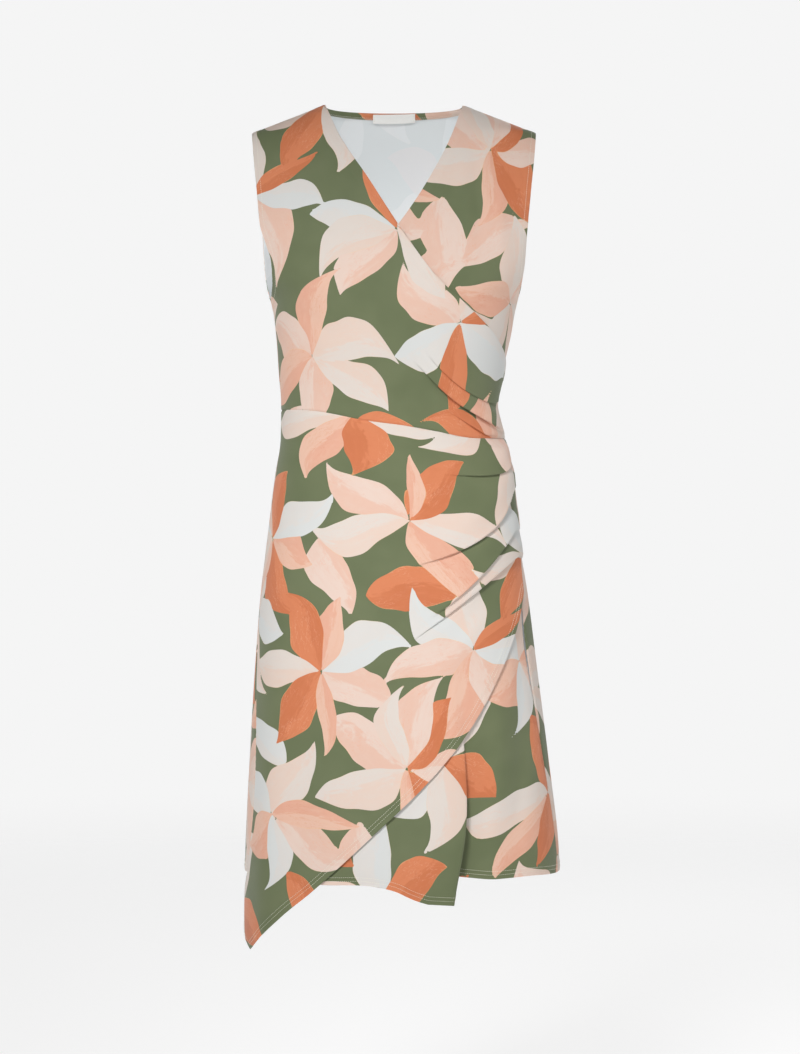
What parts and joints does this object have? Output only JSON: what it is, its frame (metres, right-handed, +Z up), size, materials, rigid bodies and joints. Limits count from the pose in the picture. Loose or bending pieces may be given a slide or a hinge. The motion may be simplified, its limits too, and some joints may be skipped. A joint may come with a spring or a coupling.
{
  "type": "sleeveless wrap dress",
  "caption": "Sleeveless wrap dress in printed jersey, hollow as worn: crossed V neck, waist seam, over skirt tucked at one side and slanting to a free point, level under skirt.",
  "frame": {"origin": "at shoulder height, midway between the two points where the shoulder seams meet the neck", "axes": "+Z up, -Y out of the garment's front, +X to the wearer's left"},
  "size_m": [0.4046, 0.3044, 1.0715],
  "materials": {
    "printed_jersey": "matte",
    "woven_label": "satin",
    "sewing_thread": "satin"
  },
  "bodies": {
    "root": {"right_front_bodice": "printed_jersey", "left_front_bodice": "printed_jersey", "back_bodice": "printed_jersey", "over_skirt": "printed_jersey", "under_skirt": "printed_jersey", "back_skirt": "printed_jersey", "back_neck_band": "printed_jersey", "neck_label": "woven_label"}
  },
  "joints": []
}
